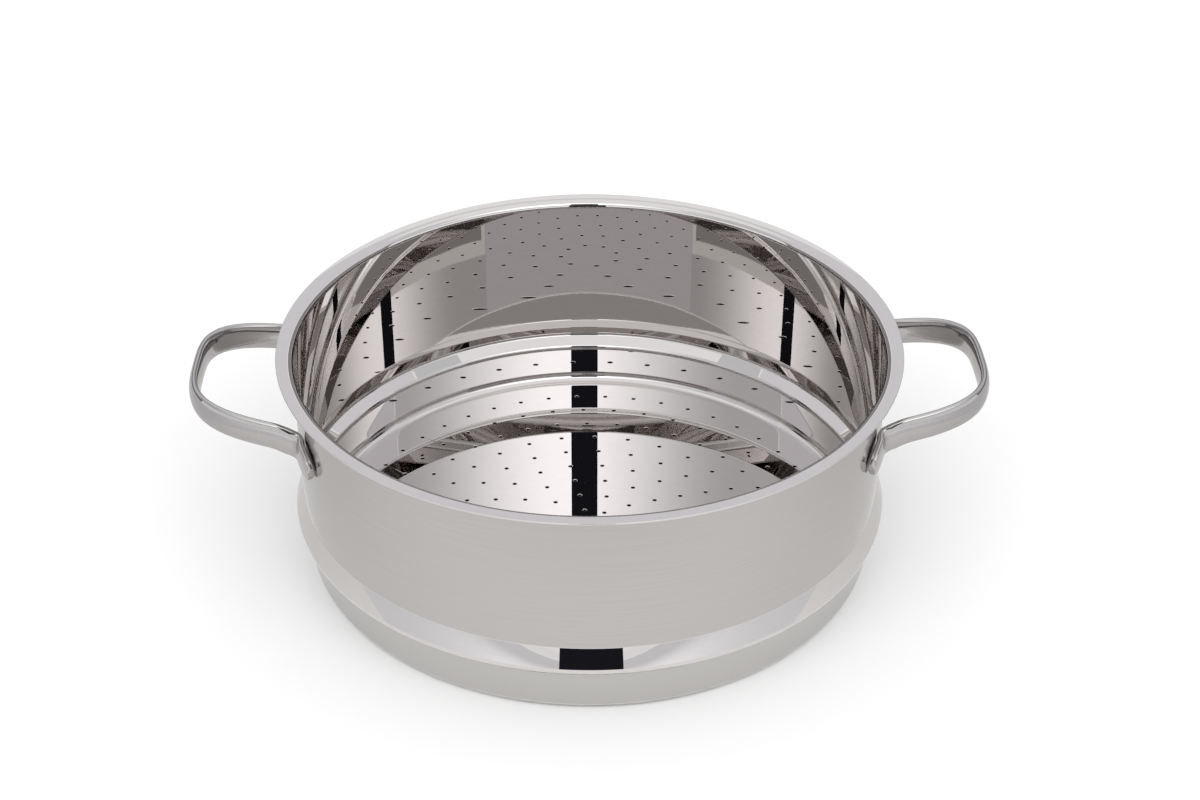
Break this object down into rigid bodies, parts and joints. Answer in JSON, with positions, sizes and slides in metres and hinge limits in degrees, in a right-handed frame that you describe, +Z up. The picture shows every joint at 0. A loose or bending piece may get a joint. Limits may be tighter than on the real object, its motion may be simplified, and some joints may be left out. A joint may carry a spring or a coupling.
{
  "type": "steamer tier",
  "caption": "Round stainless steel steamer tier with a perforated base, a flared bead above a stepped-in lower band, a flat rim flange and solid loop handles on both sides.",
  "frame": {"origin": "on the floor, at the middle of the base", "axes": "+Z up along the shell's axis; X runs through the middles of both handles, +X to the viewer's right in the picture; -Y faces the viewer"},
  "size_m": [0.3804, 0.297, 0.111],
  "materials": {
    "stainless_sheet": "mirror inside, on the rim and on the flared band; fine horizontal satin on the outside wall and the lower band",
    "stainless_cast": "tumble polished"
  },
  "bodies": {
    "root": {"shell": "stainless_sheet", "handle_right": "stainless_cast", "handle_left": "stainless_cast"}
  },
  "joints": []
}
